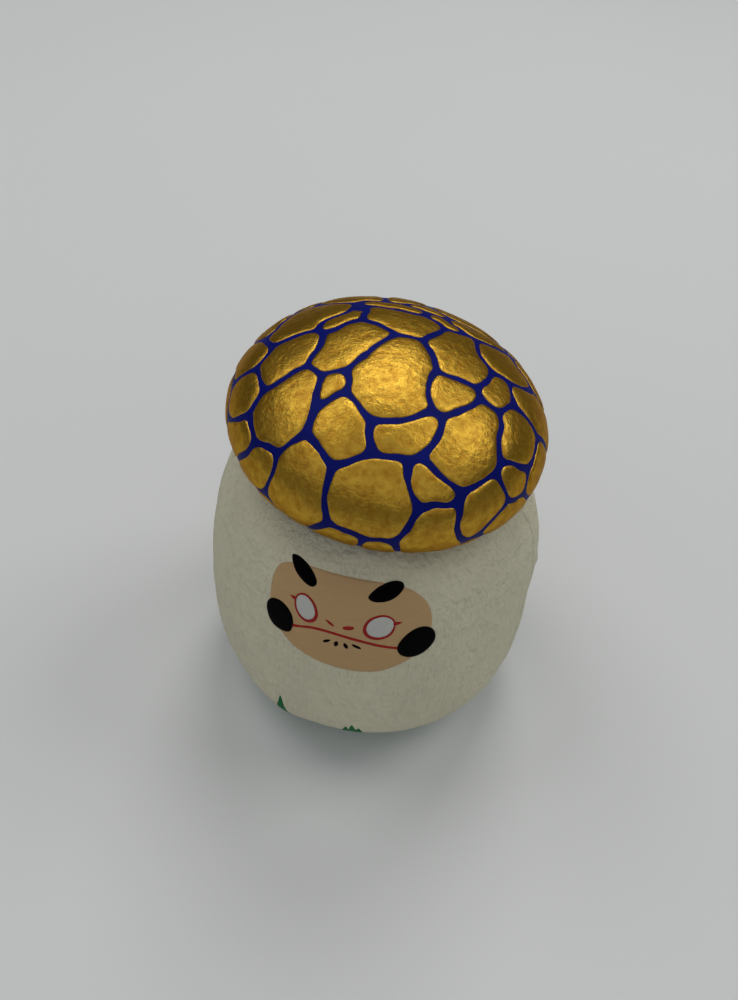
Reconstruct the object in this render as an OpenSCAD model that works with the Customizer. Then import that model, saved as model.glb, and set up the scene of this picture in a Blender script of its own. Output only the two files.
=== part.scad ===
// Daruma doll of pasted paper with a mushroom-shaped cap, weighted so that it rights itself.
// Millimetres, +Z up. The face looks along -Y. The origin is the centre of the foot's underside.
// Pieces that are glued together stand a glue line apart.

/* [Body] */
// Largest radius of the body
body_r = 35; // [32:0.5:38]
// Height at which the body is widest
bulge_z = 19; // [17:0.5:22]
// Height of the shoulder that the cap rests on
shoulder_z = 61.6; // [58:0.2:64]
// Radius of the flat of the shoulder
shoulder_r = 17; // [16.5:0.5:19]
// Thickness of the pasted paper wall
wall = 1.6; // [1.2:0.1:2]

/* [Foot and weight] */
// Radius of the flat that the body stands on
foot_r = 10; // [9:0.5:12]
// Thickness of the card foot
foot_t = 0.8; // [0.6:0.1:1.2]
// Height of the top of the clay weight
weight_z = 12; // [9:0.5:15]

/* [Neck] */
// Outer radius of the collar that enters the cap
neck_r = 14; // [13:0.25:14.5]
// Height of the collar above the shoulder
neck_h = 4; // [3.5:0.25:4.5]
// Radius of the wooden peg that carries the cap
peg_r = 3; // [2:0.25:4]

/* [Cap] */
// Largest radius of the cap
cap_r = 29; // [27:0.5:31]
// Height of the dome above the cap's widest level
dome_h = 16; // [15:0.5:20]
// Depth of the rolled lip below the widest level
lip_h = 6; // [5:0.25:7]
// Sideways lean of the cap towards +X, in degrees
cap_lean = 5; // [0:0.5:5]

/* [Paper strips] */
// Width of the strips pasted over the joints
strip_w = 7; // [5:0.5:9]
// Thickness of a pasted strip
strip_t = 0.25; // [0.2:0.05:0.3]

/* [Face] */
// Width of the painted face
face_w = 29; // [25:0.5:31]
// Height of the painted face
face_h = 18.7; // [16:0.1:20]
// Height of the middle of the face
face_z = 47.3; // [46:0.1:49]

/* [Hidden] */
// Structural pieces first, then the coats of paint
PIECES = ["body_front", "body_back", "seam_strip_left", "seam_strip_right", "base_weight",
          "weight_cover", "base_disc", "neck_plug", "neck_band", "cap_peg", "cap_block",
          "cap_dome", "cap_underside", "cap_rim_strip"];
COATS = ["cap_gilding", "grass_paint", "face_ground", "eye_whites", "eye_rims", "brows",
         "beard_tufts", "mouth_and_nostrils", "chin_marks"];

$fn = 96;
glue = 0.05;                    // a glue line between two pieces
steps = 16;                     // points along each quarter of an outline
reach = 2 * body_r;             // longer than any piece that it cuts

// Roundness of the outlines: 2 is a plain ellipse, more is squarer
lower_n = 2;
upper_n = 2.4;
dome_n = 2.1;

hole_r = 0.7 * foot_r;          // hole that the clay is packed through
collar_wall = wall - 0.2;       // the collar is pasted thinner than the body
plug_r = neck_r - collar_wall - 2 * glue;
lip_r = cap_r - 7;              // radius at which the lip turns flat underneath
cap_hole_r = neck_r + 2;        // hole in the cap's underside, wide enough for the lean
block_r = 3 * peg_r;            // block glued under the dome, which takes the peg

// Height of the cap's widest level: its leaning underside clears the shoulder's edge
cap_z = shoulder_z + 2 * glue + (lip_h + strip_t) * cos(cap_lean)
        + (shoulder_r + lip_h * sin(cap_lean)) * tan(cap_lean);

// Outlines run from the bottom to the top, as [radius, height]
function body_outline() = concat(
    [for (i = [0 : steps]) let (a = 90 * i / steps)
        [foot_r + (body_r - foot_r) * pow(sin(a), 2 / lower_n),
         bulge_z - (bulge_z - foot_t) * pow(cos(a), 2 / lower_n)]],
    [for (i = [1 : steps]) let (a = 90 * i / steps)
        [shoulder_r + (body_r - shoulder_r) * pow(cos(a), 2 / upper_n),
         bulge_z + (shoulder_z - bulge_z) * pow(sin(a), 2 / upper_n)]]);

function cap_outline() = concat(
    [for (i = [0 : steps]) let (a = 90 * i / steps)
        [lip_r + (cap_r - lip_r) * sin(a), -lip_h * cos(a)]],
    [for (i = [1 : steps]) let (a = 90 * i / steps)
        [cap_r * pow(cos(a), 2 / dome_n), dome_h * pow(sin(a), 2 / dome_n)]]);

// An outline moved outwards by d; both ends run on flat, towards the axis
function unit(v) = v / norm(v);
function heading(p, i) =
    i < 0 ? [1, 0] : i > len(p) - 2 ? [-1, 0] : unit(p[i + 1] - p[i]);
function moved(p, d) = [for (i = [0 : len(p) - 1])
    let (along = unit(heading(p, i - 1) + heading(p, i)), q = p[i] + d * [along.y, -along.x])
        [max(q.x, 0), q.y]];

function reversed(p) = [for (i = [len(p) - 1 : -1 : 0]) p[i]];

// Solid of revolution inside an outline, closed along the axis
module solid_of(outline) {
    rotate_extrude() polygon(concat([[0, outline[0].y]], outline, [[0, outline[len(outline) - 1].y]]));
}

// Layer between two distances from an outline
module layer_of(outline, low, high) {
    rotate_extrude() polygon(concat(moved(outline, high), reversed(moved(outline, low))));
}

// Part of the space between two heights
module level(z0, z1) {
    translate([0, 0, z0]) cylinder(h = z1 - z0, r = reach);
}

// The cap's own frame, with its origin at the middle of the widest level
module on_cap() {
    translate([0, 0, cap_z]) rotate([0, cap_lean, 0]) children();
}

// Body and its collar, as one hollow of revolution
module body_shell() {
    outer = body_outline();
    inner = moved(outer, -wall);
    collar_z = shoulder_z + neck_h;
    rotate_extrude() polygon(concat(
        [[hole_r, foot_t]],
        outer,
        [[neck_r, shoulder_z], [neck_r, collar_z],
         [neck_r - collar_wall, collar_z], [neck_r - collar_wall, shoulder_z - wall]],
        reversed(inner),
        [[hole_r, foot_t + wall]]));
}

// Half of the body on one side of the seam: -1 is the front, 1 is the back
module body_half(side) {
    intersection() {
        body_shell();
        translate([-reach, side > 0 ? glue / 2 : -reach - glue / 2, 0]) cube([2 * reach, reach, reach]);
    }
}

module body_front() { color("#E6E2D3") body_half(-1); }
module body_back() { color("#DEDACB") body_half(1); }

// Strip over the seam on one side: -1 is -X, 1 is +X
module seam_strip(side) {
    intersection() {
        layer_of(body_outline(), glue, glue + strip_t);
        translate([side > 0 ? 0 : -reach, -strip_w / 2, foot_t + 1])
            cube([reach, strip_w, shoulder_z - foot_t - 2]);
    }
}

module seam_strip_left() { color("#EDE9DB") seam_strip(-1); }
module seam_strip_right() { color("#EDE9DB") seam_strip(1); }

// Clay packed into the bottom, with a spigot in the hole
module base_weight() {
    color("#8A6E52") {
        intersection() {
            solid_of(moved(body_outline(), -wall - glue));
            level(foot_t, weight_z);
        }
        translate([0, 0, foot_t + glue]) cylinder(h = wall + glue, r = hole_r - glue);
    }
}

// Paper pasted over the clay
module weight_cover() {
    color("#B9A98A") intersection() {
        solid_of(moved(body_outline(), -wall - glue));
        level(weight_z + glue, weight_z + glue + strip_t);
    }
}

module base_disc() {
    color("#9C8560") cylinder(h = foot_t - glue, r = foot_r - 0.2);
}

// Wooden plug in the collar, bored along the cap's axis
module neck_plug() {
    color("#C9A877") difference() {
        translate([0, 0, shoulder_z - wall / 2]) cylinder(h = neck_h, r = plug_r);
        on_cap() translate([0, 0, -reach / 2]) cylinder(h = reach, r = peg_r + glue);
    }
}

// Paper band wound round the collar
module neck_band() {
    color("#B9A98A") translate([0, 0, shoulder_z + glue]) difference() {
        cylinder(h = neck_h - 4 * glue, r = neck_r + 1);
        translate([0, 0, -1]) cylinder(h = neck_h + 2, r = neck_r + glue);
    }
}

module cap_peg() {
    color("#D6B98C") on_cap() translate([0, 0, -9]) cylinder(h = 20, r = peg_r);
}

// Block glued under the dome, with a blind bore for the peg
module cap_block() {
    color("#C9A877") on_cap() difference() {
        intersection() {
            solid_of(moved(cap_outline(), -wall - glue));
            translate([0, 0, 2]) cylinder(h = dome_h, r = block_r);
        }
        translate([0, 0, 1]) cylinder(h = 10 + 2 * glue, r = peg_r + glue);
    }
}

module cap_dome() {
    outer = cap_outline();
    color("#15226E") on_cap() rotate_extrude() polygon(concat(outer, reversed(moved(outer, -wall))));
}

// Flat ring that closes the cap underneath
module cap_underside() {
    color("#1B2A78") on_cap() translate([0, 0, -lip_h]) difference() {
        cylinder(h = collar_wall, r = lip_r - glue);
        translate([0, 0, -1]) cylinder(h = collar_wall + 2, r = cap_hole_r);
    }
}

// Strip pasted over the joint of the lip and the underside
module cap_rim_strip() {
    flat = [[lip_r - 2, -lip_h]];
    lip = [for (i = [0 : 4]) cap_outline()[i]];
    color("#1B2A78") on_cap() layer_of(concat(flat, lip), glue, strip_t);
}

// ---- Coats of paint, each a thin layer over the surface that it covers ----

film = 0.12;                    // thickness of one coat

// Gold on the dome, from the lip upwards
module cap_gilding() {
    bare = 5;                   // outline points left blue under the lip
    outline = cap_outline();
    covered = [for (i = [bare : len(outline) - 1]) outline[i]];
    color("#B58A24") on_cap() intersection() {
        layer_of(outline, glue, glue + film);
        translate([0, 0, covered[0].y]) cylinder(h = reach, r = reach);
    }
}

// Green round the foot, below the tips of the painted grass
module grass_paint() {
    grass_z = 12;               // height that the low blades merge into
    blade_w = 4;                // width of a tall blade where it leaves the others
    blades = [[-19.3, 20.4], [6.2, 18.4]];      // turn from the front and height of the tall ones
    color("#2E5A3A") difference() {
        intersection() {
            layer_of(body_outline(), glue, glue + film);
            union() {
                level(foot_t, grass_z);
                for (blade = blades) rotate([90, 0, blade[0]]) linear_extrude(height = reach)
                    polygon([[-blade_w / 2, grass_z - 1], [blade_w / 2, grass_z - 1], [0, blade[1]]]);
            }
        }
        translate([-reach, -strip_w / 2 - glue, 0]) cube([2 * reach, strip_w + 2 * glue, reach]);
    }
}

// Shapes of the face, seen from the front, as [x, z] about the middle of the face
function oval(w, h, n_up = 2, n_down = 2) = [for (i = [0 : 4 * steps - 1])
    let (a = 90 * i / steps, n = a < 180 ? n_up : n_down)
        [w / 2 * sign(cos(a)) * pow(abs(cos(a)), 2 / n),
         h / 2 * sign(sin(a)) * pow(abs(sin(a)), 2 / n)]];

module at(x, z, turn = 0) {
    translate([x, z]) rotate(turn) children();
}

// Pointed leaf, the overlap of two discs
module leaf(w, h) {
    r = (w * w + h * h) / (4 * h);
    intersection() {
        translate([0, r - h / 2]) circle(r = r);
        translate([0, h / 2 - r]) circle(r = r);
    }
}

module eye_shapes(grow = 0) {
    at(-7.1, 2, -20) polygon(oval(4.2 + grow, 4.4 + grow));
    at(6.4, 1.5, 20) polygon(oval(4.8 + grow, 4.6 + grow));
}

// Brush stroke that arches by rise over its width
module stroke(w, rise, thick) {
    top = [for (i = [-steps : steps]) let (s = i / steps)
        [s * w / 2, rise * (1 - s * s) + thick / 2 * (1 - s * s * s * s)]];
    polygon(concat(top, reversed([for (p = top) [p.x, p.y - thick * (1 - pow(2 * p.x / w, 4)) - 0.05]])));
}

// Coat of the given order on the front of the body, in the outline of the children
module face_coat(order) {
    low = glue + order * film;
    intersection() {
        layer_of(body_outline(), low, low + film - glue / 2);
        translate([0, 0, face_z]) rotate([90, 0, 0]) linear_extrude(reach) children();
    }
}

module face_ground() {
    color("#D9B79C") face_coat(0) at(0.6, 0) polygon(oval(face_w, face_h, 3.6, 2.6));
}

module eye_whites() {
    color("#F2EFE8") face_coat(1) eye_shapes();
}

module eye_rims() {
    color("#7A1F24") face_coat(1) difference() {
        eye_shapes(0.8);
        eye_shapes(0.1);
    }
}

module brows() {
    color("#17140F") face_coat(1) {
        at(-8.1, 7.4, -22) leaf(6, 2.3);
        at(6.4, 7.2, 20) leaf(6, 2.6);
    }
}

module beard_tufts() {
    color("#17140F") face_coat(1) {
        at(-11.3, -2.3, -12) polygon(oval(5, 6.2));
        at(12.2, -2.2, 12) polygon(oval(5, 6.4));
    }
}

module mouth_and_nostrils() {
    color("#8E2328") face_coat(1) {
        at(0.4, -2.9) stroke(16.6, 1.6, 0.5);
        at(-2.3, 0.8, -18) leaf(1.7, 0.5);
        at(1.1, 0.6, 10) leaf(1.8, 0.5);
    }
}

module chin_marks() {
    color("#17140F") face_coat(1)
        for (i = [0 : 3]) at(-2.5 + 1.8 * i, -3.5, 78 + 8 * i) leaf(1.4, 0.5);
}

body_front();
body_back();
seam_strip_left();
seam_strip_right();
base_weight();
weight_cover();
base_disc();
neck_plug();
neck_band();
cap_peg();
cap_block();
cap_dome();
cap_underside();
cap_rim_strip();
cap_gilding();
grass_paint();
face_ground();
eye_whites();
eye_rims();
brows();
beard_tufts();
mouth_and_nostrils();
chin_marks();
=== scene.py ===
"""Builds the looks of a pasted-paper daruma doll with a mushroom-shaped cap.

Lengths in the settings and in the shape code are millimetres. Meshes are made in metres.
The face looks along -Y, +Z is up and the origin is the middle of the foot's underside.
"""

import math
import random

import bmesh
import bpy
import numpy as np
from bpy.props import FloatProperty, FloatVectorProperty, IntProperty, PointerProperty
from mathutils import Matrix, Vector, noise
from mathutils.geometry import delaunay_2d_cdt


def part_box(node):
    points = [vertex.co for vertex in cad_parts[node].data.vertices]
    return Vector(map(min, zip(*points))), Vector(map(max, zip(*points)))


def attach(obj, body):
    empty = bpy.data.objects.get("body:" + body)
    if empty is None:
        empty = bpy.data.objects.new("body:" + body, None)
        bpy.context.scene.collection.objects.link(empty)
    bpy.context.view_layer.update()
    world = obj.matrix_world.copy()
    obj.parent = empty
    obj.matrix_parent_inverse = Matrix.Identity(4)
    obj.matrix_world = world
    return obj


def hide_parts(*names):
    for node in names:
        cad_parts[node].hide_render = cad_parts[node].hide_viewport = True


bl_info = {
    "name": "Pasted Paper Daruma",
    "version": (1, 0, 0),
    "blender": (4, 5, 0),
    "location": "View3D > Sidebar > Daruma",
    "description": "Builds a weighted pasted-paper doll with a gold and blue cap",
    "category": "Add Mesh",
}

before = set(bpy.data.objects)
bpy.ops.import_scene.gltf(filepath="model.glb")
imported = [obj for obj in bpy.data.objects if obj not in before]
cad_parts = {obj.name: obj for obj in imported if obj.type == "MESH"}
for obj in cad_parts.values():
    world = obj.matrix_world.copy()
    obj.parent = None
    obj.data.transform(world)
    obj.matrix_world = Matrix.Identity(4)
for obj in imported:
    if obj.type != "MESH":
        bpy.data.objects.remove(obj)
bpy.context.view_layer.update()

MM = 0.001
GLUE = 0.05                       # glue line between two pieces
SINK = 0.05                       # how far a coat or a strip reaches into what it covers
BODY = "root"                     # the one body that everything is glued to


def cad_box(node):
    """Lowest and highest corner of a structural node, in millimetres."""
    low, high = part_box(node)
    return low / MM, high / MM


# ---------------------------------------------------------------- sizes that follow the frame

FRONT_LOW, FRONT_HIGH = cad_box("body_front")
BODY_R = (FRONT_HIGH.x - FRONT_LOW.x) / 2
FOOT_T = FRONT_LOW.z              # the shell starts on top of the card foot
COLLAR_TOP = FRONT_HIGH.z
SHOULDER_Z = COLLAR_TOP - 4
SHOULDER_R = 17
BULGE_Z = 19
FOOT_R = 10
HOLE_R = 7
NECK_R = 14
WALL = 1.6
STRIP_W = cad_box("seam_strip_left")[1].y * 2

CAP_LEAN = math.radians(5)
CAP_R = cad_box("cap_dome")[1].y
DOME_H = 16
LIP_H = 6
LIP_R = CAP_R - 7
STRIP_T = 0.25
CAP_Z = (SHOULDER_Z + 2 * GLUE + (LIP_H + STRIP_T) * math.cos(CAP_LEAN)
         + (SHOULDER_R + LIP_H * math.sin(CAP_LEAN)) * math.tan(CAP_LEAN))


# ---------------------------------------------------------------- colours and settings

def linear(code):
    """Linear colour, without alpha, from an sRGB hex code such as D8D2C0."""
    parts = [int(code[i:i + 2], 16) / 255 for i in (0, 2, 4)]
    return tuple(c / 12.92 if c <= 0.04045 else ((c + 0.055) / 1.055) ** 2.4 for c in parts)


def colour(name, description, code):
    """Colour setting with an sRGB default."""
    return FloatVectorProperty(name=name, description=description, default=linear(code),
                               subtype="COLOR", size=3, min=0, max=1)


class DarumaShape(bpy.types.PropertyGroup):
    """Shapes that the maker's hand gives the doll."""

    lumps: FloatProperty(
        name="Lumps", description="Height of the broad unevenness of the hand-pressed paper, in mm",
        default=0.45, min=0, max=1)
    line_gap: FloatProperty(
        name="Line width", description="Width of the blue left between two gold patches, in mm",
        default=0.95, min=0.6, max=2)
    patch_height: FloatProperty(
        name="Patch height", description="Height of the gold paint in the middle of a patch, in mm",
        default=0.24, min=0.1, max=0.4)
    grass_height: FloatProperty(
        name="Grass height", description="Height that the tallest painted blade reaches, in mm",
        default=20.4, min=12, max=26)
    seed: IntProperty(
        name="Seed", description="Changes the patches behind, the blades and the ragged edges",
        default=11, min=0)


class DarumaColours(bpy.types.PropertyGroup):
    """Colours of the papers and paints."""

    paper: colour("Paper", "White-washed mulberry paper", "DAD5BB")
    blue: colour("Blue", "Ultramarine paint of the cap", "03106A")
    gold: colour("Gold", "Gold mica paint of the patches", "C89E34")
    skin: colour("Skin", "Paint of the face", "BE9D72")
    white: colour("White", "Paint of the eyes", "C4C4BE")
    red: colour("Red", "Paint of the eye rims, nostrils and mouth", "9C241F")
    black: colour("Black", "Ink of the brows, beard and chin", "030304")
    green: colour("Green", "Paint of the grass", "0E6A3A")
    floor: colour("Floor", "Paper that the doll stands on", "DCDDDC")


class DarumaStudio(bpy.types.PropertyGroup):
    """Camera and light."""

    lens: FloatProperty(name="Lens", description="Focal length of the camera in mm", default=27.36,
                        min=10, max=200)
    eye: FloatVectorProperty(name="Camera", description="Place of the camera", subtype="XYZ",
                             unit="LENGTH", default=(0.0137, -0.1045, 0.1607))
    aim: FloatVectorProperty(name="Aim", description="Point in the middle of the picture",
                             subtype="XYZ", unit="LENGTH", default=(-0.0058, 0.0234, 0.0215))
    roll: FloatProperty(name="Roll", description="Turn of the camera about its own line of sight",
                        subtype="ANGLE", default=math.radians(5.3))
    front: FloatProperty(name="Front light", description="Strength of the sky light from the front",
                         default=0.66, min=0)
    back: FloatProperty(name="Back light", description="Strength of the sky light from behind",
                        default=0.07, min=0)
    backdrop: FloatProperty(name="Backdrop", description="Brightness of the pale wall beyond the floor",
                            default=0.55, min=0)
    lamps: FloatProperty(name="Lamps", description="Power in watts that each lamp takes a share of",
                         default=6.6, min=0)


# ---------------------------------------------------------------- meshes

def new_piece(name, corners, faces):
    """Closed mesh object from corners in millimetres, with its normals facing out."""
    mesh = bpy.data.meshes.new(name)
    mesh.from_pydata([tuple(c * MM for c in corner) for corner in corners], [], faces)
    work = bmesh.new()
    work.from_mesh(mesh)
    bmesh.ops.remove_doubles(work, verts=work.verts, dist=0.002 * MM)
    bmesh.ops.recalc_face_normals(work, faces=work.faces)
    work.to_mesh(mesh)
    work.free()
    mesh.shade_smooth()
    piece = bpy.data.objects.new(name, mesh)
    bpy.context.scene.collection.objects.link(piece)
    return piece


def set_material(piece, material):
    """Gives a piece one material in place of any it has."""
    piece.data.materials.clear()
    piece.data.materials.append(material)


def finish_piece(piece, material, slot, *nodes):
    """Gives a piece its material and its body, and hides the nodes that it stands for. The slot is not
    used.
    """
    set_material(piece, material)
    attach(piece, BODY)
    if nodes:
        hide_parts(*nodes)


def grid_slab(rows, columns, place, closed=False):
    """Corners and faces of a slab on a grid; place(row, column, top) gives each corner."""
    corners = [place(r, c, top) for top in (True, False) for r in range(rows) for c in range(columns)]
    count = rows * columns
    faces = []
    spans = columns if closed else columns - 1

    def corner(r, c, below):
        return r * columns + c % columns + (count if below else 0)

    for r in range(rows - 1):
        for c in range(spans):
            square = [(r, c), (r, c + 1), (r + 1, c + 1), (r + 1, c)]
            faces.append([corner(*p, False) for p in square])
            faces.append([corner(*p, True) for p in reversed(square)])
    for r in (0, rows - 1):
        for c in range(spans):
            faces.append([corner(r, c, False), corner(r, c, True),
                          corner(r, c + 1, True), corner(r, c + 1, False)])
    if not closed:
        for c in (0, columns - 1):
            for r in range(rows - 1):
                faces.append([corner(r, c, False), corner(r + 1, c, False),
                              corner(r + 1, c, True), corner(r, c, True)])
    return corners, faces


def inside(point, loop):
    """Whether a flat point lies inside a closed loop."""
    x, y = point
    found = False
    for (x0, y0), (x1, y1) in zip(loop, loop[1:] + loop[:1]):
        if (y0 > y) != (y1 > y) and x < x0 + (y - y0) * (x1 - x0) / (y1 - y0):
            found = not found
    return found


def outline_slab(loops, spacing, place):
    """Slab over a flat outline, the first loop, less any holes, the others.

    place(x, z, level) gives a corner: level 0 is underneath, 1 the rounded rim and 2 the top.
    """
    rim = [Vector(p) for loop in loops for p in loop]
    edges = []
    start = 0
    for loop in loops:
        edges += [(start + i, start + (i + 1) % len(loop)) for i in range(len(loop))]
        start += len(loop)

    def covered(point):
        return inside(point, loops[0]) and not any(inside(point, hole) for hole in loops[1:])

    low = [min(p[i] for p in loops[0]) for i in (0, 1)]
    high = [max(p[i] for p in loops[0]) for i in (0, 1)]
    free = []
    for j in range(int((high[1] - low[1]) / spacing) + 1):
        for i in range(int((high[0] - low[0]) / spacing) + 1):
            point = Vector((low[0] + (i + 0.5 * (j % 2)) * spacing, low[1] + j * spacing))
            if covered(point) and min((point - q).length for q in rim) > 0.45 * spacing:
                free.append(point)
    flat, _, triangles, _, _, _ = delaunay_2d_cdt(rim + free, edges, [], 0, 1e-6)
    kept = [t for t in triangles if covered(sum((flat[i] for i in t), Vector((0, 0))) / 3)]
    corners = [place(p.x, p.y, 1 if i < len(rim) else 2) for i, p in enumerate(flat)]
    corners += [place(p.x, p.y, 0) for p in flat]
    count = len(flat)
    faces = [list(t) for t in kept] + [[i + count for i in reversed(t)] for t in kept]
    faces += [[a, b, b + count, a + count] for a, b in edges]
    return corners, faces


def joined(parts):
    """One list of corners and one of faces from several."""
    corners, faces = [], []
    for part_corners, part_faces in parts:
        faces += [[i + len(corners) for i in f] for f in part_faces]
        corners += part_corners
    return corners, faces


# ---------------------------------------------------------------- surfaces of the doll

def smooth_step(low, high, value):
    """0 up to low, 1 from high on, and a smooth rise between."""
    t = min(max((value - low) / (high - low), 0), 1)
    return t * t * (3 - 2 * t)


class Turned:
    """Hand-formed surface of revolution, from an outline that runs from the top down."""

    def __init__(self, outline, placed=Matrix()):
        points = np.array(outline, float)
        steps = np.hypot(*np.diff(points, axis=0).T)
        length = np.concatenate([[0], np.cumsum(steps)])
        self.length = float(length[-1])
        self.along = np.arange(0, self.length, 0.2)
        self.radius = np.interp(self.along, length, points[:, 0])
        self.height = np.interp(self.along, length, points[:, 1])
        dr, dz = np.gradient(self.radius), np.gradient(self.height)
        size = np.hypot(dr, dz)
        self.out_r, self.out_z = -dz / size, dr / size
        self.placed = placed

    def line(self, distance):
        """Radius, height and outward direction at a distance along the outline."""
        return [float(np.interp(distance, self.along, values))
                for values in (self.radius, self.height, self.out_r, self.out_z)]

    def at(self, direction, distance, lift, lumps):
        """Corner on the surface; direction is a flat unit vector away from the axis."""
        r, z, out_r, out_z = self.line(distance)
        base = Vector((r * direction[0], r * direction[1], z))
        normal = Vector((out_r * direction[0], out_r * direction[1], out_z))
        return self.placed @ (base + normal * (lift + lumps(base)))


def ellipse_arc(centre_r, centre_z, width, height, power, falling, steps=60):
    """Quarter of a squared-off ellipse, from its top or, if it is not falling, from its side."""
    angles = [math.pi / 2 * i / steps for i in range(steps + 1)]
    points = [(centre_r + width * math.sin(a) ** (2 / power),
               centre_z + height * math.cos(a) ** (2 / power)) for a in angles]
    return points if falling else points[::-1]


def body_outline():
    """Collar, fillet, shoulder, side, bulge and foot."""
    fillet = 1.2
    corner = [(NECK_R + fillet - fillet * math.cos(a), SHOULDER_Z + fillet - fillet * math.sin(a))
              for a in [math.pi / 2 * i / 8 for i in range(9)]]
    upper = ellipse_arc(SHOULDER_R, BULGE_Z, BODY_R - SHOULDER_R, SHOULDER_Z - BULGE_Z, 2.4, True)
    lower = ellipse_arc(FOOT_R, BULGE_Z, BODY_R - FOOT_R, FOOT_T - BULGE_Z, 2, False)
    return [(NECK_R, COLLAR_TOP)] + corner + upper + lower[1:] + [(HOLE_R, FOOT_T)]


def cap_outline():
    """Dome from its middle out to the widest level, then the lip that rolls under."""
    dome = ellipse_arc(0, 0, CAP_R, DOME_H, 2.1, True)
    lip = ellipse_arc(LIP_R, 0, CAP_R - LIP_R, -LIP_H, 2, False)
    return dome + lip[1:]


BODY_SURFACE = Turned(body_outline())
CAP_SURFACE = Turned(cap_outline(),
                     Matrix.Translation((0, 0, CAP_Z)) @ Matrix.Rotation(CAP_LEAN, 4, "Y"))
FACE_MIDDLE = Vector((0.6, -27, 47.3))
# Where the maker's hands pressed the wet shell: turn in degrees, height, reach, push outwards
HAND_MARKS = [
    (-100, 56, 11, 1.3), (-92, 37, 13, 0.8), (-50, 14, 11, -0.8), (-17, 11, 6, 0.5),
    (71, 29, 11, -1.4), (90.5, 39.6, 1, 0.35), (104, 52, 12, 0.5), (-150, 30, 14, -0.7),
    (160, 48, 10, 0.6), (128, 20, 12, -0.6),
]
SIDE = BODY_SURFACE.along > 12    # the outline below the shoulder, where its height only falls


def body_distance(height):
    """Distance along the outline at which the side of the body has this height."""
    return float(np.interp(-height, -BODY_SURFACE.height[SIDE], BODY_SURFACE.along[SIDE]))


def mark_place(turn, height):
    """Place of a hand mark on the smooth body."""
    radius = BODY_SURFACE.line(body_distance(height))[0]
    turn = math.radians(turn)
    return Vector((radius * math.sin(turn), -radius * math.cos(turn), height))


MARKS = [(mark_place(turn, height), reach, push) for turn, height, reach, push in HAND_MARKS]


def pressed(base):
    """How far the hand marks push the shell out at a place."""
    return sum(push * math.exp(-(base - middle).length_squared / reach ** 2)
               for middle, reach, push in MARKS)


def paper_lumps(base):
    """Height of the body's unevenness at a place on it, in millimetres.

    The creases are softer on the face, and everything dies away at the collar and on the foot.
    """
    broad = bpy.context.scene.daruma_shape.lumps * noise.noise(base / 21) + pressed(base)
    creases = 0.2 * noise.noise(base / 7.5 + Vector((3, 0, 0))) + 0.07 * noise.noise(base / 2.8)
    behind = 2 if base.y > 0 else 0
    from_face = math.hypot((base.x - FACE_MIDDLE.x) / 14, (base.z - FACE_MIDDLE.z) / 9) + behind
    off_face = smooth_step(1, 1.35, from_face)
    from_axis = math.hypot(base.x, base.y)
    below_collar = 60 - base.z if base.z < 55 else 0
    clear_of_collar = smooth_step(NECK_R + 0.5, NECK_R + 3, from_axis + below_collar)
    above_foot = 4 if base.z > 8 else 0
    clear_of_foot = smooth_step(FOOT_R, FOOT_R + 6, from_axis + above_foot)
    return (broad + creases * (0.35 + 0.65 * off_face)) * clear_of_collar * clear_of_foot


def cap_lumps(base):
    """Height of the cap's unevenness."""
    size = bpy.context.scene.daruma_shape.lumps
    rolled_under = smooth_step(-LIP_H, -LIP_H + 2.5, base.z)
    return rolled_under * (0.6 * size * noise.noise(base / 17 + Vector((0, 5, 0)))
                           + 0.1 * noise.noise(base / 5.5) + 0.03 * noise.noise(base / 2.2))


def on_body(angle, distance, lift):
    """Corner on the body: angle 0 is the front, and it grows towards +X."""
    return BODY_SURFACE.at((math.sin(angle), -math.cos(angle)), distance, lift, paper_lumps)


def on_front(x, z, lift):
    """Corner on the body's front, straight behind a point of the front view."""
    distance = body_distance(z)
    radius = BODY_SURFACE.line(distance)[0]
    return on_body(math.asin(x / radius), distance, lift)


def on_cap(u, v, lift):
    """Corner on the cap from flat map coordinates, measured along the dome from its middle."""
    distance = math.hypot(u, v)
    if distance < 1e-6:
        return CAP_SURFACE.at((1, 0), 0, lift, cap_lumps)
    return CAP_SURFACE.at((u / distance, v / distance), distance, lift, cap_lumps)


# ---------------------------------------------------------------- materials

def new_material(name):
    """Empty node material with a principled shader, its tree and the shader."""
    material = bpy.data.materials.new(name)
    material.use_nodes = True
    tree = material.node_tree
    tree.nodes.clear()
    output = tree.nodes.new("ShaderNodeOutputMaterial")
    shader = tree.nodes.new("ShaderNodeBsdfPrincipled")
    tree.links.new(shader.outputs["BSDF"], output.inputs["Surface"])
    return material, tree, shader


def add(tree, kind, settings=None, **inputs):
    """Adds a node; an input is a value or another node's socket, and _ stands for a space."""
    node = tree.nodes.new("ShaderNode" + kind)
    for key, value in (settings or {}).items():
        setattr(node, key, value)
    for key, value in inputs.items():
        socket = node.inputs[int(key[1:])] if key[1:].isdigit() else node.inputs[key.replace("_", " ")]
        if isinstance(value, bpy.types.NodeSocket):
            tree.links.new(value, socket)
        else:
            socket.default_value = value
    return node


def rgba(value):
    """Colour with full alpha."""
    return (*value, 1)


def tint(value, factor):
    """Colour made darker or lighter by a factor."""
    return tuple(min(c * factor, 1) for c in value)


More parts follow.
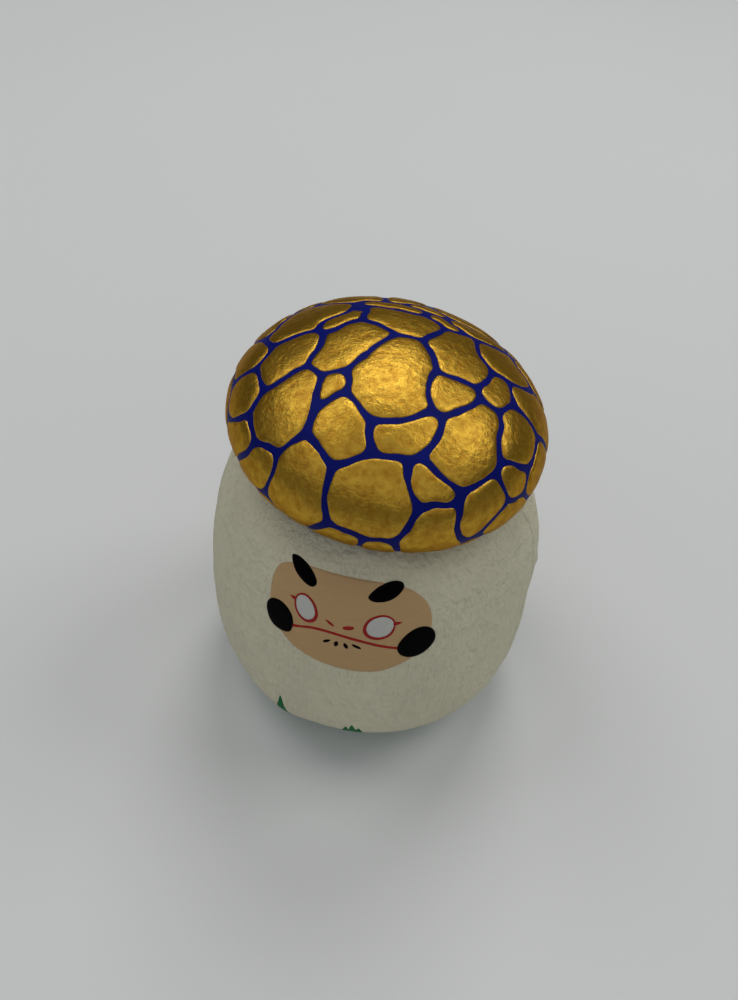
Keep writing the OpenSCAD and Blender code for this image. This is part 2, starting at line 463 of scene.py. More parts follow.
def washed_paper(name, base):
    """Mulberry paper pasted in overlapping sheets and washed with shell white.

    Dry and chalky. Fine ribs about 0.5 mm apart run upright on some sheets and slanted on others,
    with a fainter weave across them, over soft creases and blisters of about 3 mm.
    """
    material, tree, shader = new_material(name)
    place = add(tree, "TexCoord").outputs["Object"]
    upright = add(tree, "Mapping", {"vector_type": "TEXTURE"}, Vector=place, Scale=(1, 1, 11),
                  Rotation=(0, 0.05, 0))
    ribs = add(tree, "TexNoise", Vector=upright.outputs[0], Scale=1 / (0.5 * MM), Detail=1.5)
    level = add(tree, "Mapping", {"vector_type": "TEXTURE"}, Vector=place, Scale=(8, 8, 1),
                Rotation=(0, -0.06, 0))
    weave = add(tree, "TexNoise", Vector=level.outputs[0], Scale=1 / (0.8 * MM), Detail=1.5)
    slant = add(tree, "Mapping", {"vector_type": "TEXTURE"}, Vector=place, Scale=(1, 1, 4),
                Rotation=(0, -0.5, 0))
    slanted = add(tree, "TexNoise", Vector=slant.outputs[0], Scale=1 / (0.9 * MM), Detail=1.5)
    sheets = add(tree, "TexNoise", Vector=place, Scale=1 / (17 * MM), Detail=1.0)
    which = add(tree, "MapRange", {"interpolation_type": "SMOOTHSTEP"}, Value=sheets.outputs["Fac"],
                From_Min=0.47, From_Max=0.6)
    laid = add(tree, "Mix", {"data_type": "FLOAT"}, _0=which.outputs[0],
               _2=ribs.outputs["Fac"], _3=slanted.outputs["Fac"])
    woven = add(tree, "Math", {"operation": "MULTIPLY_ADD"}, _0=weave.outputs["Fac"], _1=0.5,
                _2=laid.outputs[0])
    creases = add(tree, "TexNoise", Vector=place, Scale=1 / (2.8 * MM), Detail=3.0)
    fibre = add(tree, "TexNoise", Vector=place, Scale=1 / (0.5 * MM), Detail=3.0, Roughness=0.6)
    rough = add(tree, "Math", {"operation": "MULTIPLY_ADD"}, _0=fibre.outputs["Fac"], _1=0.35,
                _2=woven.outputs[0])
    relief = add(tree, "Math", {"operation": "MULTIPLY_ADD"}, _0=creases.outputs["Fac"], _1=2.6,
                 _2=rough.outputs[0])
    stain = add(tree, "TexNoise", Vector=place, Scale=1 / (11 * MM), Detail=4.0, Roughness=0.6)
    shade = add(tree, "Mix", {"data_type": "RGBA"}, _0=stain.outputs["Fac"],
                A=rgba(tint(base, 0.9)), B=rgba(tint(base, 1.05)))
    # Painted shade in the hollows: the paper is darker wherever the ribs, weave and fibres dip.
    hollow_shade = add(tree, "ValToRGB", Fac=rough.outputs[0])
    hollow_shade.color_ramp.elements[0].position = 0.62
    hollow_shade.color_ramp.elements[0].color = (0.84, 0.83, 0.79, 1)
    hollow_shade.color_ramp.elements[1].position = 0.98
    tinted = add(tree, "Mix", {"data_type": "RGBA", "blend_type": "MULTIPLY"}, _0=0.6,
                 A=shade.outputs[2], B=hollow_shade.outputs["Color"])
    tree.links.new(tinted.outputs[2], shader.inputs["Base Color"])
    shader.inputs["Roughness"].default_value = 0.9
    shader.inputs["Specular IOR Level"].default_value = 0.2
    bump = add(tree, "Bump", Height=relief.outputs[0], Strength=1.0, Distance=0.44 * MM)
    tree.links.new(bump.outputs[0], shader.inputs["Normal"])
    return material


def blue_distemper(base):
    """Ultramarine in animal glue, brushed on thickly. Deep, even and nearly matte."""
    material, tree, shader = new_material("ultramarine_distemper")
    place = add(tree, "TexCoord").outputs["Object"]
    cloud = add(tree, "TexNoise", Vector=place, Scale=1 / (2.5 * MM), Detail=4.0)
    shade = add(tree, "Mix", {"data_type": "RGBA"}, _0=cloud.outputs["Fac"],
                A=rgba(tint(base, 0.6)), B=rgba(tint(base, 1.3)))
    tree.links.new(shade.outputs[2], shader.inputs["Base Color"])
    shader.inputs["Roughness"].default_value = 0.55
    shader.inputs["Specular IOR Level"].default_value = 0.08
    grain = add(tree, "TexNoise", Vector=place, Scale=1 / (0.7 * MM), Detail=3.0)
    bump = add(tree, "Bump", Height=grain.outputs["Fac"], Strength=1.0, Distance=0.04 * MM)
    tree.links.new(bump.outputs[0], shader.inputs["Normal"])
    return material


def gold_mica_paint(base):
    """Gold paint of bronze-coated mica flakes, dabbed on in several wet coats.

    Metallic and satin. The surface is dimpled at 1 to 2 mm, so each patch glints in spots, and
    in the dimples the colour is darker and browner, which is painted shade.
    """
    material, tree, shader = new_material("gold_mica_paint")
    place = add(tree, "TexCoord").outputs["Object"]
    dabs = add(tree, "TexNoise", Vector=place, Scale=1 / (1.6 * MM), Detail=4.0, Roughness=0.65)
    drags = add(tree, "TexNoise", Vector=place, Scale=1 / (7 * MM), Detail=2.0)
    shade = add(tree, "Mix", {"data_type": "RGBA"}, _0=drags.outputs["Fac"],
                A=rgba(tint(base, 0.82)), B=rgba(tint(base, 1.1)))
    # Painted shade in the dimples: where the dabs dip, the gold is made darker and browner.
    thin = add(tree, "ValToRGB", Fac=dabs.outputs["Fac"])
    thin.color_ramp.elements[0].position = 0.34
    thin.color_ramp.elements[0].color = (0.72, 0.6, 0.42, 1)
    thin.color_ramp.elements[1].position = 0.6
    gilt = add(tree, "Mix", {"data_type": "RGBA", "blend_type": "MULTIPLY"}, _0=1.0,
               A=shade.outputs[2], B=thin.outputs["Color"])
    tree.links.new(gilt.outputs[2], shader.inputs["Base Color"])
    shader.inputs["Metallic"].default_value = 0.95
    shader.inputs["Specular Tint"].default_value = (0.6, 0.42, 0.2, 1)
    shader.inputs["Coat Weight"].default_value = 0.15
    shader.inputs["Coat Roughness"].default_value = 0.4
    gloss = add(tree, "MapRange", Value=dabs.outputs["Fac"], From_Min=0.3, From_Max=0.7,
                To_Min=0.44, To_Max=0.33)
    tree.links.new(gloss.outputs[0], shader.inputs["Roughness"])
    flakes = add(tree, "TexNoise", Vector=place, Scale=1 / (0.45 * MM), Detail=2.0)
    relief = add(tree, "Math", {"operation": "MULTIPLY_ADD"}, _0=flakes.outputs["Fac"], _1=0.1,
                 _2=dabs.outputs["Fac"])
    bump = add(tree, "Bump", Height=relief.outputs[0], Strength=1.0, Distance=0.2 * MM)
    tree.links.new(bump.outputs[0], shader.inputs["Normal"])
    return material


def distemper(name, base, roughness=0.75, streak=0.12, gloss=0.08):
    """Pigment in animal glue over smoothed paper. Matte, with faint brush streaks 0.8 mm apart."""
    material, tree, shader = new_material(name)
    place = add(tree, "TexCoord").outputs["Object"]
    brushed = add(tree, "Mapping", {"vector_type": "TEXTURE"}, Vector=place, Scale=(6, 1, 1))
    streaks = add(tree, "TexNoise", Vector=brushed.outputs[0], Scale=1 / (0.8 * MM), Detail=3.0)
    shade = add(tree, "Mix", {"data_type": "RGBA"}, _0=streaks.outputs["Fac"],
                A=rgba(tint(base, 1 - streak)), B=rgba(tint(base, 1 + streak)))
    tree.links.new(shade.outputs[2], shader.inputs["Base Color"])
    shader.inputs["Roughness"].default_value = roughness
    shader.inputs["Specular IOR Level"].default_value = gloss
    grain = add(tree, "TexNoise", Vector=place, Scale=1 / (0.5 * MM), Detail=3.0)
    bump = add(tree, "Bump", Height=grain.outputs["Fac"], Strength=1.0, Distance=0.02 * MM)
    tree.links.new(bump.outputs[0], shader.inputs["Normal"])
    return material


def planed_softwood():
    """Pale softwood, turned and planed, with a dull surface.

    The wave node draws 3.2 bands in a unit of its scale, so the rings stand 9.4 mm apart. Real
    ones are finer, but no wooden piece shows.
    """
    material, tree, shader = new_material("planed_softwood")
    place = add(tree, "TexCoord").outputs["Object"]
    rings = add(tree, "TexWave", {"bands_direction": "X"}, Vector=place, Scale=1 / (30 * MM),
                Distortion=4.0)
    shade = add(tree, "Mix", {"data_type": "RGBA"}, _0=rings.outputs["Fac"],
                A=rgba(linear("B8915C")), B=rgba(linear("DDBE8C")))
    tree.links.new(shade.outputs[2], shader.inputs["Base Color"])
    shader.inputs["Roughness"].default_value = 0.65
    return material


def rough_stock(name, dark, light, grain):
    """Dull stock with a speckle of the given size in mm: kraft paper, grey card or dry clay."""
    material, tree, shader = new_material(name)
    place = add(tree, "TexCoord").outputs["Object"]
    speckle = add(tree, "TexNoise", Vector=place, Scale=1 / (grain * MM), Detail=5.0, Roughness=0.7)
    shade = add(tree, "Mix", {"data_type": "RGBA"}, _0=speckle.outputs["Fac"],
                A=rgba(linear(dark)), B=rgba(linear(light)))
    tree.links.new(shade.outputs[2], shader.inputs["Base Color"])
    shader.inputs["Roughness"].default_value = 0.9
    bump = add(tree, "Bump", Height=speckle.outputs["Fac"], Strength=0.5, Distance=0.2 * MM)
    tree.links.new(bump.outputs[0], shader.inputs["Normal"])
    return material


# ---------------------------------------------------------------- pattern of the cap

CAP_ARC = CAP_SURFACE.length
GOLD_END = CAP_ARC - 1.1          # the gold stops here, under the lip
# Patches seen from the front and above: u, v in the flat map, size, length, turn in degrees, and
# how much wider the end is that the turn leads to
PATCHES = [
    (-0.5, -6.6, 5.2, 7, 84, -0.3), (-9.8, -1.9, 3.2, 8.2, 72, 0.08), (-2.7, 9.9, 3.4, 8.6, 4, 0),
    (10, 4.1, 3.8, 6.4, 112, 0), (10, -7.1, 2.5, 3, 35, 0), (17.8, -1.4, 2.9, 3, 70, 0),
    (15.1, -13.1, 4.4, 8.4, 72, -0.2), (3.9, -17.3, 2.7, 7, 24, 0), (-5.6, -18.4, 3.9, 4.4, 118, 0),
    (-9.3, -12.4, 2.3, 2.8, 60, 0), (-16.6, -16.2, 4.2, 6, 62, 0), (-19.2, -5.4, 3.8, 5, 62, 0),
    (-18.1, 6.9, 4.1, 8.4, 40, -0.12), (-11.2, 7, 2.2, 6.5, 50, 0), (-4.2, 14, 1.8, 8, 0, 0),
    (5.4, 12.9, 1.8, 4, -15, 0), (17.8, 7, 3.6, 5, -20, 0), (26.2, 2.2, 3.6, 8, 8, 0),
    (22.3, -7.8, 3.8, 3, 100, 0), (25.5, -14.9, 1.8, 2.6, 0, 0), (20.4, -24.6, 3.5, 4.4, 72, 0.08),
    (11.1, -24.3, 2.5, 3.6, 0, -0.1), (1.8, -28.6, 6, 1, 0, 0), (-11.8, -30.2, 4, 6, 80, 0),
    (16.2, -32.2, 4.7, 6, -70, 0.1), (-26.3, -11.6, 3.2, 2, 60, 0), (-28, -2, 3.2, 4, -60, 0),
    (-27.5, -20.2, 2.4, 6, -15, 0), (-22.8, -26.2, 2.4, 7, 20, 0), (10.8, 14.4, 2, 6, 3, 0),
    (1.8, 17, 1.1, 4.5, 0, 0), (31.5, -8.5, 2, 7, 85, 0), (30.5, -20.5, 3, 6, 60, 0),
    (-3.5, -39.3, 2.2, 5, 5, 0), (6.4, -39.3, 2.2, 3, -5, 0), (-27, 7.8, 2.6, 6, 110, 0),
    (-24.5, -33.5, 2.4, 7, -40, 0), (27, -31.6, 2.6, 6, 48, 0), (26, 9.8, 1.6, 6, -40, 0),
    (-11.8, 17.5, 2.6, 6, 15, 0), (10, 19.8, 2.2, 6, -10, 0), (-4, 19.8, 1.9, 3, 30, 0),
]


def cap_points(u, v):
    """Places on the smooth cap, in its own frame, for arrays of map coordinates."""
    distance = np.hypot(u, v)
    angle = np.arctan2(v, u)
    radius = np.interp(distance, CAP_SURFACE.along, CAP_SURFACE.radius)
    height = np.interp(distance, CAP_SURFACE.along, CAP_SURFACE.height)
    return np.stack([radius * np.cos(angle), radius * np.sin(angle), height], -1)


def patch_ends(patch):
    """Both ends of a patch's middle line, in the map."""
    u, v, _, length, turn, _ = patch
    du = length / 2 * math.cos(math.radians(turn))
    dv = length / 2 * math.sin(math.radians(turn))
    return (u - du, v - dv), (u + du, v + dv)


def patch_distance(places, patches):
    """Distance of each place from each patch's middle line, less the patch's size."""
    ends = np.array([patch_ends(p) for p in patches], float)
    start = cap_points(ends[:, 0, 0], ends[:, 0, 1])
    line = cap_points(ends[:, 1, 0], ends[:, 1, 1]) - start
    to = places[..., None, :] - start
    share = np.clip((to * line).sum(-1) / np.maximum((line * line).sum(-1), 1e-9), 0, 1)
    near = np.linalg.norm(to - share[..., None] * line, axis=-1)
    size = np.array([p[2] for p in patches])
    taper = np.array([p[5] for p in patches])
    return near - size * (1 + (2 * share - 1) * taper)


def all_patches(seed):
    """The patches above, then others that fill the back and the lip, largest first."""
    patches = list(PATCHES)
    draw = random.Random(seed)
    for size in (3.4, 2.8, 2.2, 1.6):
        for _ in range(900):
            turn = draw.uniform(-math.pi, math.pi)
            away = (GOLD_END - 1) * math.sqrt(draw.random())
            patch = (away * math.cos(turn), away * math.sin(turn), size,
                     draw.uniform(1, 5), draw.uniform(0, 180), 0)
            behind = away > 18 and 0.35 < turn < 2.8
            if not (away > 33 or behind):
                continue
            spots = [patch[:2], *patch_ends(patch)]
            if max(math.hypot(*spot) for spot in spots) > GOLD_END - size - 1:
                continue
            places = cap_points(*np.array(spots).T)
            if patch_distance(places, patches).min() > size + 1.3:
                patches.append(patch)
    return patches


def patch_edge(patches, index, gap, directions):
    """Radius of a patch's edge in the map, in each direction from its middle.

    The edge keeps half a gap from the line midway to its neighbours. Where three meet, the
    smoothed minimum draws it back, which rounds the corner.
    """
    softness = 0.6
    reach = np.linspace(0, 22, 221)
    u = patches[index][0] + np.cos(directions)[:, None] * reach
    v = patches[index][1] + np.sin(directions)[:, None] * reach
    spans = patch_distance(cap_points(u, v), patches)
    own = spans[..., index]
    to_end = (GOLD_END - np.hypot(u, v))[..., None]
    others = np.concatenate([np.delete(spans, index, -1), to_end], -1)
    nearest = others.min(-1, keepdims=True)
    smoothed = nearest[..., 0] - softness * np.log(np.exp((nearest - others) / softness).sum(-1))
    field = own - smoothed + gap
    first = np.maximum((field > 0).argmax(1), 1)
    row = np.arange(len(directions))
    before, after = field[row, first - 1], field[row, first]
    return reach[first - 1] + reach[1] * np.clip(before / (before - after), 0, 1)


def patch_relief(share, height):
    """Height of the paint at a share of the way to a patch's edge: nearly flat, then rounded."""
    return height * (1 - share ** 8) ** 0.7 * (1 - 0.12 * share * share)


def gold_patch(patches, index, shape):
    """Corners and faces of one closed patch of paint, sunk a little into the blue."""
    sides = 96
    directions = np.linspace(0, 2 * math.pi, sides, endpoint=False)
    edge = patch_edge(patches, index, shape.line_gap, directions)
    u, v = patches[index][:2]
    rim = [Vector((u + reach * math.cos(turn), v + reach * math.sin(turn), index))
           for turn, reach in zip(directions, edge)]
    wobble = [0.35 * noise.noise(spot / 3) + 0.1 * noise.noise(spot / 1.3) for spot in rim]
    shares = [0, 0.2, 0.4, 0.58, 0.72, 0.82, 0.89, 0.94, 0.975, 1]
    sunk = -0.15

    def corner(share, side, lift):
        reach = share * (edge[side] + wobble[side] * share)
        turn = directions[side]
        return on_cap(u + reach * math.cos(turn), v + reach * math.sin(turn), lift)

    corners = [corner(share, side, patch_relief(share, shape.patch_height))
               for share in shares for side in range(sides)]
    corners += [corner(1, side, sunk) for side in range(sides)]
    corners.append(on_cap(u, v, 2 * sunk))
    faces = []
    for ring in range(len(shares)):
        for side in range(sides):
            after = (side + 1) % sides
            faces.append([ring * sides + side, ring * sides + after,
                          (ring + 1) * sides + after, (ring + 1) * sides + side])
    last = len(shares) * sides
    faces += [[last + side, last + (side + 1) % sides, len(corners) - 1] for side in range(sides)]
    return corners, faces


# ---------------------------------------------------------------- brushwork of the face

def dab(x, z, length, width, turn, point=0.0, square=2.0, sides=40):
    """Outline of one touch of the brush; point sharpens the end that the turn leads away from."""
    turn = math.radians(turn)
    outline = []
    for i in range(sides):
        a = 2 * math.pi * i / sides
        along = length / 2 * math.copysign(abs(math.cos(a)) ** (2 / square), math.cos(a))
        across = width / 2 * math.copysign(abs(math.sin(a)) ** (2 / square), math.sin(a))
        across *= ((1 + math.cos(a)) / 2 + 0.02) ** point
        rim = Vector((x, z, 0)) + Vector((math.cos(a), math.sin(a), 0)) * 1.3
        wobble = 1 + 0.05 * noise.noise(rim)
        along, across = along * wobble, across * wobble
        outline.append((x + along * math.cos(turn) - across * math.sin(turn),
                        z + along * math.sin(turn) + across * math.cos(turn)))
    return outline


def brush_line(route, width):
    """Outline of a stroke along a route of points, its width wavering a little."""
    left, right = [], []
    for i, (x, z) in enumerate(route):
        x0, z0 = route[max(i - 1, 0)]
        x1, z1 = route[min(i + 1, len(route) - 1)]
        run = math.hypot(x1 - x0, z1 - z0)
        press = width / 2 * (1 + 0.25 * noise.noise(Vector((x * 0.6, z, 7))))
        left.append((x - (z1 - z0) / run * press, z + (x1 - x0) / run * press))
        right.append((x + (z1 - z0) / run * press, z - (x1 - x0) / run * press))
    return left + right[::-1]


def through(points, steps):
    """Smooth route through a few points."""
    route = []
    last = len(points) - 1
    for i in range(last):
        p0, p1, p2, p3 = (points[min(max(i + k, 0), last)] for k in (-1, 0, 1, 2))
        for j in range(steps):
            t = j / steps
            route.append(tuple(
                0.5 * (2 * b + (c - a) * t + (2 * a - 5 * b + 4 * c - d) * t * t
                       + (3 * b - a - 3 * c + d) * t ** 3) for a, b, c, d in zip(p0, p1, p2, p3)))
    return route + [points[-1]]


def closed_through(points, steps):
    """Smooth closed outline through a few points."""
    count = len(points)
    ring = [points[i % count] for i in range(-1, count + 2)]
    return [p for i in range(count) for p in through(ring, steps)[(i + 1) * steps:(i + 2) * steps]]


def painted(name, outlines, layer, material, slot, *nodes):
    """Piece of thin paint on the front; each outline is a loop, or a loop with its holes."""
    film = 0.07
    spacing = 0.45
    lifts = (layer * film - SINK, layer * film + 0.3 * film, (layer + 1) * film)
    parts = []
    for outline in outlines:
        loops = outline if isinstance(outline[0], list) else [outline]
        parts.append(outline_slab(loops, spacing, lambda x, z, level: on_front(x, z, lifts[level])))
    finish_piece(new_piece(name, *joined(parts)), material, slot, *nodes)


# ---------------------------------------------------------------- operators

class DARUMA_OT_studio(bpy.types.Operator):
    """Add the floor, the soft light and the camera"""

    bl_idname = "daruma.studio"
    bl_label = "Studio"

    def execute(self, context):
        scene = context.scene
        studio = scene.daruma_studio
        tones = scene.daruma_colours
        self.floor(tones.floor)
        self.light(scene, studio)
        camera = bpy.data.objects.new("camera", bpy.data.cameras.new("camera"))
        camera.data.lens = studio.lens
        camera.data.sensor_width = 36
        camera.data.clip_start = 0.01
        eye, aim = Vector(studio.eye), Vector(studio.aim)
        look = (aim - eye).to_track_quat("-Z", "Y").to_matrix().to_4x4()
        camera.matrix_world = Matrix.Translation(eye) @ look @ Matrix.Rotation(studio.roll, 4, "Z")
        scene.collection.objects.link(camera)
        scene.camera = camera
        scene.view_settings.view_transform = "Standard"
        return {"FINISHED"}

    def floor(self, tone):
        """Thick sheet of paper that reaches well past the picture."""
        reach, thick = 2500, 20

        def place(row, column, top):
            return Vector(((column - 1) * reach, (row - 1) * reach, 0 if top else -thick))

        floor = new_piece("floor", *grid_slab(3, 3, place))
        material, tree, shader = new_material("matte_backdrop_paper")
        place = add(tree, "TexCoord").outputs["Object"]
        cloud = add(tree, "TexNoise", Vector=place, Scale=1 / (300 * MM))
        shade = add(tree, "Mix", {"data_type": "RGBA"}, _0=cloud.outputs["Fac"],
                    A=rgba(tint(tone, 0.98)), B=rgba(tint(tone, 1.02)))
        tree.links.new(shade.outputs[2], shader.inputs["Base Color"])
        shader.inputs["Roughness"].default_value = 0.8
        shader.inputs["Specular IOR Level"].default_value = 0.2
        set_material(floor, material)

    def light(self, scene, studio):
        """Sky light that fades towards the horizon and the back, and three soft lamps.

        The pale backdrop is only what the camera sees beyond the floor, and lights nothing.
        """
        world = bpy.data.worlds.new("studio_sky")
        scene.world = world
        world.use_nodes = True
        tree = world.node_tree
        background = tree.nodes["Background"]
        background.inputs["Color"].default_value = (0.96, 0.98, 1, 1)
        toward = add(tree, "SeparateXYZ", Vector=add(tree, "TexCoord").outputs["Generated"])
        height = add(tree, "MapRange", {"interpolation_type": "SMOOTHSTEP"}, Value=toward.outputs["Z"],
                     From_Min=0.18, From_Max=0.6, To_Min=0.04)
        side = add(tree, "MapRange", {"interpolation_type": "SMOOTHSTEP"}, Value=toward.outputs["Y"],
                   From_Min=-0.5, From_Max=0.2, To_Min=studio.front, To_Max=studio.back)
        strength = add(tree, "Math", {"operation": "MULTIPLY"}, _0=height.outputs[0], _1=side.outputs[0])
        seen = add(tree, "LightPath").outputs["Is Camera Ray"]
        shown = add(tree, "Mix", {"data_type": "FLOAT"}, _0=seen, _2=strength.outputs[0],
                    _3=studio.backdrop)
        tree.links.new(shown.outputs[0], background.inputs["Strength"])
        for name, place, size, share in (("lamp_right", (1, 0.5, 1.4), 0.9, 0.9),
                                         ("lamp_left", (-0.84, 0.3, 1.5), 0.9, 0.75),
                                         ("lamp_behind", (0, 0.9, 1.45), 0.65, 0.95)):
            self.lamp(scene, name, place, size, share * studio.lamps)

    def lamp(self, scene, name, place, size, power):
        """Round soft lamp aimed at the doll; place and size are in metres."""
        data = bpy.data.lights.new(name, "AREA")
        data.shape = "DISK"
        data.size = size
        data.energy = power
        lamp = bpy.data.objects.new(name, data)
        lamp.location = place
        aim = Vector((0, 0, 0.05)) - lamp.location
        lamp.rotation_euler = aim.to_track_quat("-Z", "Y").to_euler()
        scene.collection.objects.link(lamp)


class DARUMA_OT_body(bpy.types.Operator):
    """Build both halves of the pasted body and the strips over their seam"""

    bl_idname = "daruma.body"
    bl_label = "Body"

    def execute(self, context):
        paper = washed_paper("washed_mulberry_paper", context.scene.daruma_colours.paper)
        self.half("body_shell_front", 0, paper, "body_front")
        self.half("body_shell_back", math.pi, paper, "body_back")
        self.strip("seam_paper_left", -math.pi / 2, paper, "seam_strip_left")
        self.strip("seam_paper_right", math.pi / 2, paper, "seam_strip_right")
        return {"FINISHED"}

    def half(self, name, middle, material, node):
        """Half of the shell, cut off straight at the seam."""
        columns, rows = 190, 160
        seam = GLUE / 2

        def place(row, column, top):
            turn = middle + math.pi * (column / (columns - 1) - 0.5)
            distance = BODY_SURFACE.length * row / (rows - 1)
            corner = on_body(turn, distance, 0 if top else -WALL)
            if column in (0, columns - 1):
                corner.y = math.copysign(seam, -math.cos(middle))
            return corner

        finish_piece(new_piece(name, *grid_slab(rows, columns, place)), material, "body_paper", node)

    def strip(self, name, middle, material, node):
        """Torn strip of paper over the seam, thinner towards its ragged edges."""
        columns, rows = 17, 150
        first = body_distance(SHOULDER_Z - 0.6)
        last = body_distance(FOOT_T + 1)

        def place(row, column, top):
            distance = first + (last - first) * row / (rows - 1)
            across = 2 * column / (columns - 1) - 1
            ragged = STRIP_W / 2 + 0.3 * noise.noise(Vector((distance * 0.8, across * 0.2 + middle, 0)))
            turn = middle + across * ragged / BODY_SURFACE.line(distance)[0]
            thick = 0.03 + 0.13 * (1 - across ** 8)
            return on_body(turn, distance, thick if top else -SINK)

        finish_piece(new_piece(name, *grid_slab(rows, columns, place)), material, "strip_paper", node)


class DARUMA_OT_grass(bpy.types.Operator):
    """Paint the grass round the foot"""

    bl_idname = "daruma.grass"
    bl_label = "Painted grass"

    def execute(self, context):
        shape = context.scene.daruma_shape
        green = distemper("green_distemper", context.scene.daruma_colours.green, 0.6)
        blades = self.blades(shape)
        columns, rows = 1200, 14
        base = FOOT_T + 0.4
        root_z = 6.5

        def top_of(turn):
            tallest = root_z + 0.5 * noise.noise(Vector((math.sin(turn) * 6, math.cos(turn) * 6, 0)))
            for at, height, left, right in blades:
                off = (turn - at + math.pi) % (2 * math.pi) - math.pi
                share = off / right if off > 0 else -off / left
                if share < 1:
                    tallest = max(tallest, root_z + (height - root_z) * (1 - share ** 1.6))
            return tallest

        tops = [top_of(2 * math.pi * c / columns) for c in range(columns)]

        def place(row, column, top):
            z = base + (tops[column % columns] - base) * row / (rows - 1)
            thin = 0.05 if row == rows - 1 else 0.1
            return on_body(2 * math.pi * column / columns, body_distance(z), thin if top else -SINK)

        finish_piece(new_piece("grass_brushwork", *grid_slab(rows, columns, place, True)), green,
                     "green_paint", "grass_paint")
        return {"FINISHED"}

    def blades(self, shape):
        """Angle, height and half widths of each blade; two tall ones stand at the front."""
        draw = random.Random(shape.seed)
        tall = shape.grass_height
        blades = [(math.radians(turn), tall - lower, math.radians(left), math.radians(right))
                  for turn, lower, left, right in (
                      (-19.3, 0, 2.4, 3.2), (-20.6, 3.4, 1.8, 3), (6.2, 2, 2.2, 3.4),
                      (4.4, 3.2, 3, 2), (8.6, 3.4, 3, 3))]
        for i in range(46):
            at = 2 * math.pi * i / 46 + draw.uniform(-0.05, 0.05)
            front = math.cos(at) > 0.1
            height = draw.uniform(8.5, 11.5) if front else draw.uniform(9, 0.85 * tall)
            blades.append((at, height, draw.uniform(0.03, 0.08), draw.uniform(0.03, 0.08)))
        return blades


class DARUMA_OT_cap(bpy.types.Operator):
    """Build the blue shell of the cap and paint what closes it underneath"""

    bl_idname = "daruma.cap"
    bl_label = "Cap"

    def execute(self, context):
        blue = blue_distemper(context.scene.daruma_colours.blue)
        columns, rows = 260, 90

        def place(row, column, top):
            distance = CAP_ARC * row / (rows - 1)
            turn = 2 * math.pi * column / columns
            lift = 0 if top else -WALL
            return on_cap(distance * math.cos(turn), distance * math.sin(turn), lift)

        finish_piece(new_piece("cap_shell", *grid_slab(rows, columns, place, True)), blue,
                     "blue_paper", "cap_dome")
        for node in ("cap_underside", "cap_rim_strip"):
            set_material(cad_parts[node], blue)
        return {"FINISHED"}


class DARUMA_OT_gold(bpy.types.Operator):
    """Lay the raised gold patches on the cap"""

    bl_idname = "daruma.gold"
    bl_label = "Gold patches"

    def execute(self, context):
        shape = context.scene.daruma_shape
        patches = all_patches(shape.seed)
        parts = [gold_patch(patches, i, shape) for i in range(len(patches))]
        finish_piece(new_piece("gold_patches", *joined(parts)),
                     gold_mica_paint(context.scene.daruma_colours.gold), "gold_paint", "cap_gilding")
        return {"FINISHED"}


class DARUMA_OT_face(bpy.types.Operator):
    """Paint the face"""

    bl_idname = "daruma.face"
    bl_label = "Face"

    def execute(self, context):
        tones = context.scene.daruma_colours
        skin = distemper("skin_distemper", tones.skin, 0.7, 0.05)
        white = distemper("shell_white", tones.white, 0.5, 0.02)
        red = distemper("vermilion_line", tones.red, 0.5, 0.1)
        black = distemper("carbon_ink", tones.black, 0.5, 0.1, 0.02)
        ground = closed_through([
            (-5.5, 56.5), (4, 56.6), (9.4, 55.8), (13.2, 53.4), (14.8, 50.2), (15.1, 46.5),
            (13.9, 42.9), (11.5, 40.5), (7.6, 38.4), (2, 37.8), (-4, 38.2), (-8.4, 39.4),
            (-11.6, 41.9), (-13.6, 45.5), (-14, 50), (-13, 54), (-10, 55.8)], 6)
        painted("face_skin", [ground], 0, skin, "skin_paint", "face_ground")
        eyes = [(-7.05, 49.35, 4.7, 3.6, 115, -0.12), (6.4, 48.85, 4.9, 4.2, 32, 0.12)]
        painted("eyeballs", [dab(x, z, length, width, turn) for x, z, length, width, turn, _ in eyes],
                1, white, "white_paint", "eye_whites")
        rims = [[dab(x - thick, z - 0.1, length + 0.75, width + 0.75, turn),
                 dab(x, z, length - 0.1, width - 0.1, turn)]
                for x, z, length, width, turn, thick in eyes]
        corners = [dab(-9.5, 50.3, 1.2, 0.85, -10, 0.8, sides=16),
                   dab(9.3, 49.75, 1.6, 0.95, 190, 0.8, sides=16)]
        painted("eye_outlines", rims + corners, 1.6, red, "red_paint", "eye_rims")
        brows = [dab(-8.2, 55.3, 5.7, 2.8, -27, 0.12), dab(6.4, 55.1, 5.9, 3.0, 22, 0.1)]
        painted("brow_strokes", brows, 1, black, "black_paint", "brows")
        beard = [dab(-11.8, 45.1, 6.4, 5.4, 105, 0, 2.2), dab(13.1, 45.1, 6.9, 5.8, 62, 0, 2.1)]
        painted("beard_dabs", beard, 1.8, black, "black_paint", "beard_tufts")
        mouth = through([(-10.2, 44.1), (-8, 44.9), (-5.5, 45.8), (-3, 46.1), (0, 46), (3.7, 45.5),
                         (7, 44.8), (11, 44.1)], 8)
        marks = [brush_line(mouth, 0.56), dab(-2.35, 48.1, 1.9, 0.62, -30, 0.2),
                 dab(1.05, 47.95, 2.1, 0.85, 14)]
        painted("mouth_and_nostril_lines", marks, 1, red, "red_paint", "mouth_and_nostrils")
        chin = [dab(-2.5, 43.95, 1.6, 0.72, 215, 0.25), dab(-0.75, 43.85, 1.3, 0.8, 80, 0, 1.7),
                dab(1.0, 43.85, 1.4, 0.75, -62, 0, 1.8), dab(2.9, 44.1, 1.9, 0.6, -22)]
        painted("chin_strokes", chin, 1, black, "black_paint", "chin_marks")
        return {"FINISHED"}


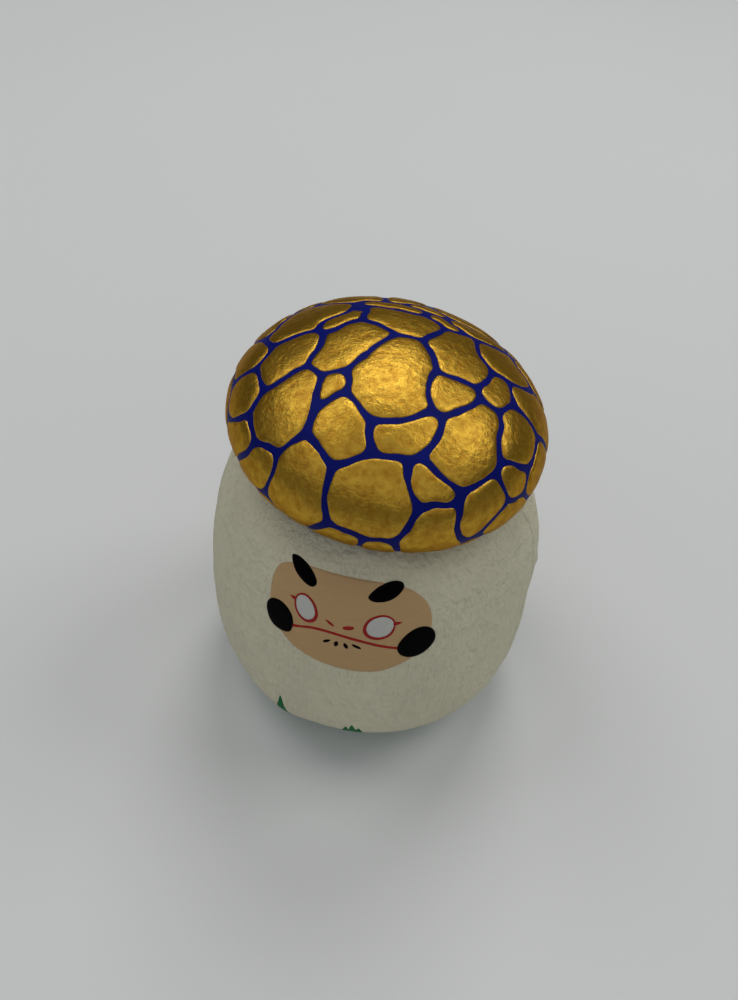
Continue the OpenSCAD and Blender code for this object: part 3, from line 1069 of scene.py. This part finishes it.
class DARUMA_OT_inner(bpy.types.Operator):
    """Give the foot, the weight and the pieces in the neck their materials"""

    bl_idname = "daruma.inner"
    bl_label = "Inner pieces"

    def execute(self, context):
        kraft = rough_stock("kraft_paper", "8C7350", "B59B72", 1.2)
        clay = rough_stock("dried_clay", "6B543E", "937A5E", 2.5)
        card = rough_stock("grey_card", "877A66", "A2957F", 0.8)
        wood = planed_softwood()
        finishes = {"base_weight": clay, "weight_cover": kraft, "base_disc": card, "neck_band": kraft,
                    "neck_plug": wood, "cap_peg": wood, "cap_block": wood}
        for node, material in finishes.items():
            set_material(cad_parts[node], material)
        return {"FINISHED"}


OPERATORS = (DARUMA_OT_studio, DARUMA_OT_body, DARUMA_OT_grass, DARUMA_OT_cap, DARUMA_OT_gold,
             DARUMA_OT_face, DARUMA_OT_inner)


class DARUMA_PT_panel(bpy.types.Panel):
    """Settings and steps of the doll"""

    bl_idname = "DARUMA_PT_panel"
    bl_label = "Pasted Paper Daruma"
    bl_space_type = "VIEW_3D"
    bl_region_type = "UI"
    bl_category = "Daruma"

    def draw(self, context):
        layout = self.layout
        for group in (context.scene.daruma_shape, context.scene.daruma_colours,
                      context.scene.daruma_studio):
            box = layout.box()
            for name in group.__annotations__:
                box.prop(group, name)
        for operator in OPERATORS:
            layout.operator(operator.bl_idname)


CLASSES = (DarumaShape, DarumaColours, DarumaStudio, *OPERATORS, DARUMA_PT_panel)


def register():
    for cls in CLASSES:
        bpy.utils.register_class(cls)
    bpy.types.Scene.daruma_shape = PointerProperty(type=DarumaShape)
    bpy.types.Scene.daruma_colours = PointerProperty(type=DarumaColours)
    bpy.types.Scene.daruma_studio = PointerProperty(type=DarumaStudio)


def unregister():
    del bpy.types.Scene.daruma_studio
    del bpy.types.Scene.daruma_colours
    del bpy.types.Scene.daruma_shape
    for cls in reversed(CLASSES):
        bpy.utils.unregister_class(cls)


def main():
    register()
    bpy.ops.daruma.studio()
    bpy.ops.daruma.body()
    bpy.ops.daruma.grass()
    bpy.ops.daruma.cap()
    bpy.ops.daruma.gold()
    bpy.ops.daruma.face()
    bpy.ops.daruma.inner()


if __name__ == "__main__":
    main()
